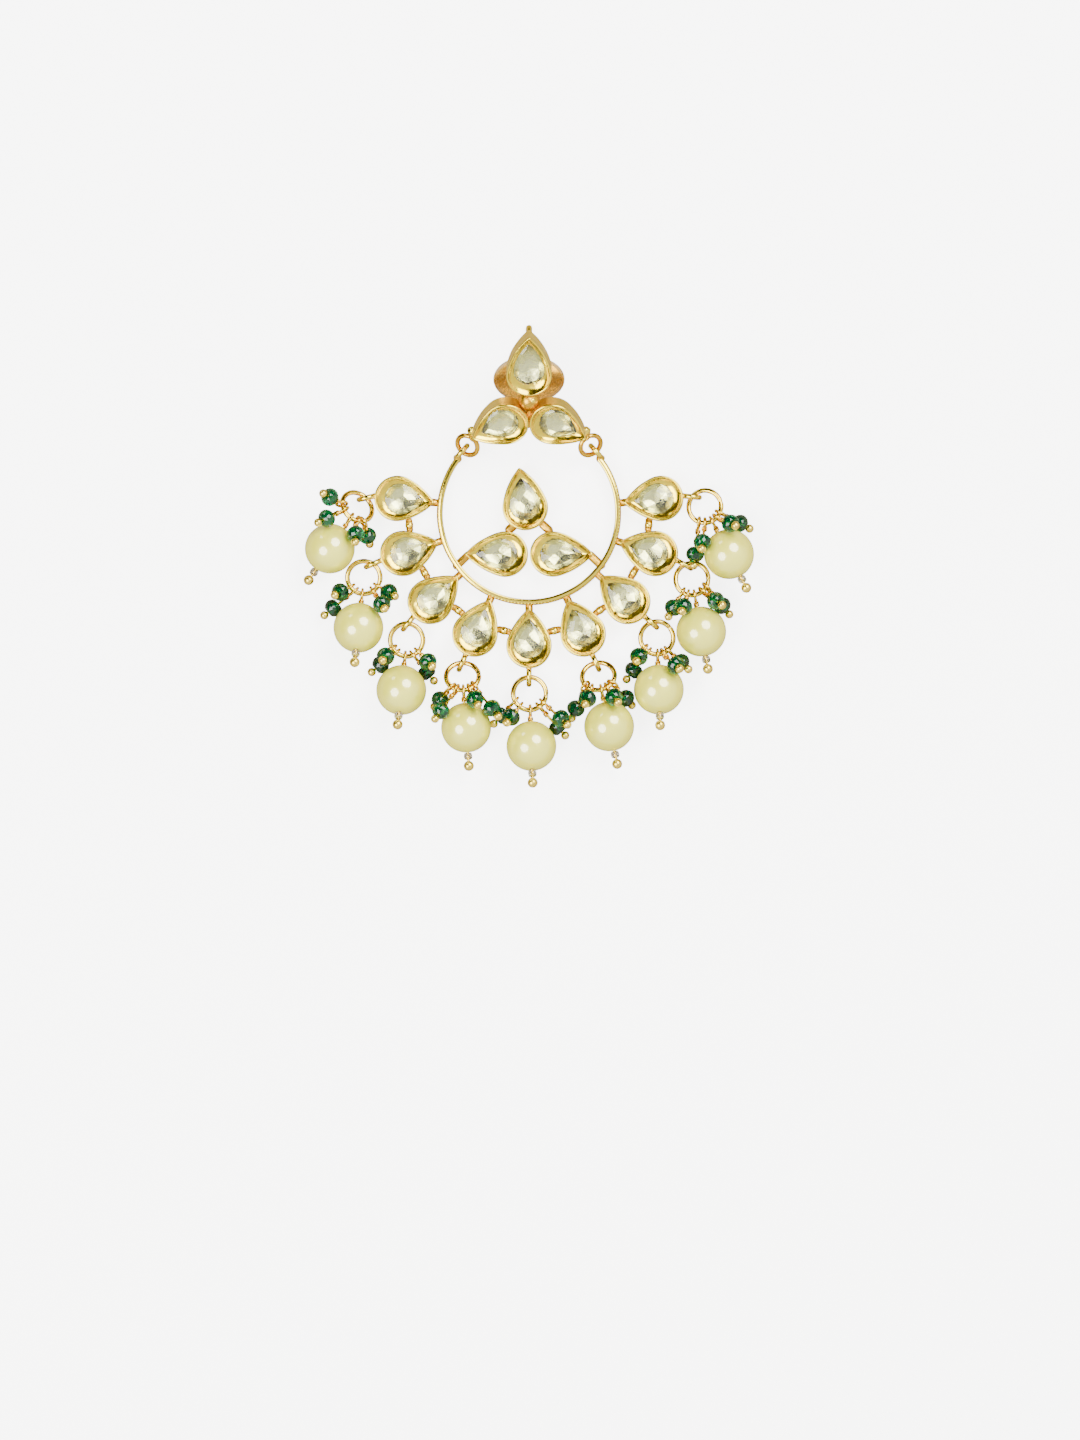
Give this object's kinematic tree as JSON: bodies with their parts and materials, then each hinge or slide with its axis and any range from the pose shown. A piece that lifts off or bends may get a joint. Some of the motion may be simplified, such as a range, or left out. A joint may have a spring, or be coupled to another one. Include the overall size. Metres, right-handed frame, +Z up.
{
  "type": "chandbali earring",
  "caption": "Chandbali earring: a pear-set ear stud linked to an open crescent of pear-set stones, fringed with pearl and green bead drops, with a push back on its post.",
  "frame": {"origin": "middle of the bounding box's underside, on the surface that the earring lies on", "axes": "+Z up, out of the earring's face; +Y from the crescent towards the stud; +X across, to the right seen from the front"},
  "size_m": [0.063, 0.0648, 0.0153],
  "materials": {
    "yellow_gold": "polished gold, satin on the outer walls and bevels",
    "rose_gold": "polished pale rose gold",
    "polki_stone": "clear cut stone, faintly grey-green",
    "pearl": "soft pearl lustre, champagne",
    "emerald_bead": "faceted deep green glass"
  },
  "bodies": {
    "earring": {"stud_frame": "yellow_gold", "moon_frame": "yellow_gold", "stud_stone_1": "polki_stone", "stud_stone_2": "polki_stone", "stud_stone_3": "polki_stone", "inner_stone_1": "polki_stone", "inner_stone_2": "polki_stone", "inner_stone_3": "polki_stone", "outer_stone_1": "polki_stone", "outer_stone_2": "polki_stone", "outer_stone_3": "polki_stone", "outer_stone_4": "polki_stone", "outer_stone_5": "polki_stone", "outer_stone_6": "polki_stone", "outer_stone_7": "polki_stone", "outer_stone_8": "polki_stone", "outer_stone_9": "polki_stone", "jump_ring_1": "yellow_gold", "jump_ring_2": "yellow_gold", "jump_ring_3": "yellow_gold", "jump_ring_4": "yellow_gold", "jump_ring_5": "yellow_gold", "jump_ring_6": "yellow_gold", "jump_ring_7": "yellow_gold", "jump_ring_8": "yellow_gold", "jump_ring_9": "yellow_gold", "pearl_1": "pearl", "pearl_2": "pearl", "pearl_3": "pearl", "pearl_4": "pearl", "pearl_5": "pearl", "pearl_6": "pearl", "pearl_7": "pearl", "pearl_8": "pearl", "pearl_9": "pearl", "drop_pins_1": "yellow_gold", "drop_pins_2": "yellow_gold", "drop_pins_3": "yellow_gold", "drop_pins_4": "yellow_gold", "drop_pins_5": "yellow_gold", "drop_pins_6": "yellow_gold", "drop_pins_7": "yellow_gold", "drop_pins_8": "yellow_gold", "drop_pins_9": "yellow_gold", "green_beads_1": "emerald_bead", "green_beads_2": "emerald_bead", "green_beads_3": "emerald_bead", "green_beads_4": "emerald_bead", "green_beads_5": "emerald_bead", "green_beads_6": "emerald_bead", "green_beads_7": "emerald_bead", "green_beads_8": "emerald_bead", "green_beads_9": "emerald_bead"},
    "push_back": {"push_back": "rose_gold"}
  },
  "joints": [
    {"name": "push_back_slide", "type": "slide", "parent": "earring", "child": "push_back", "axis": [0, 0.766, -0.6428], "range_m": [0, 0.0101]}
  ]
}
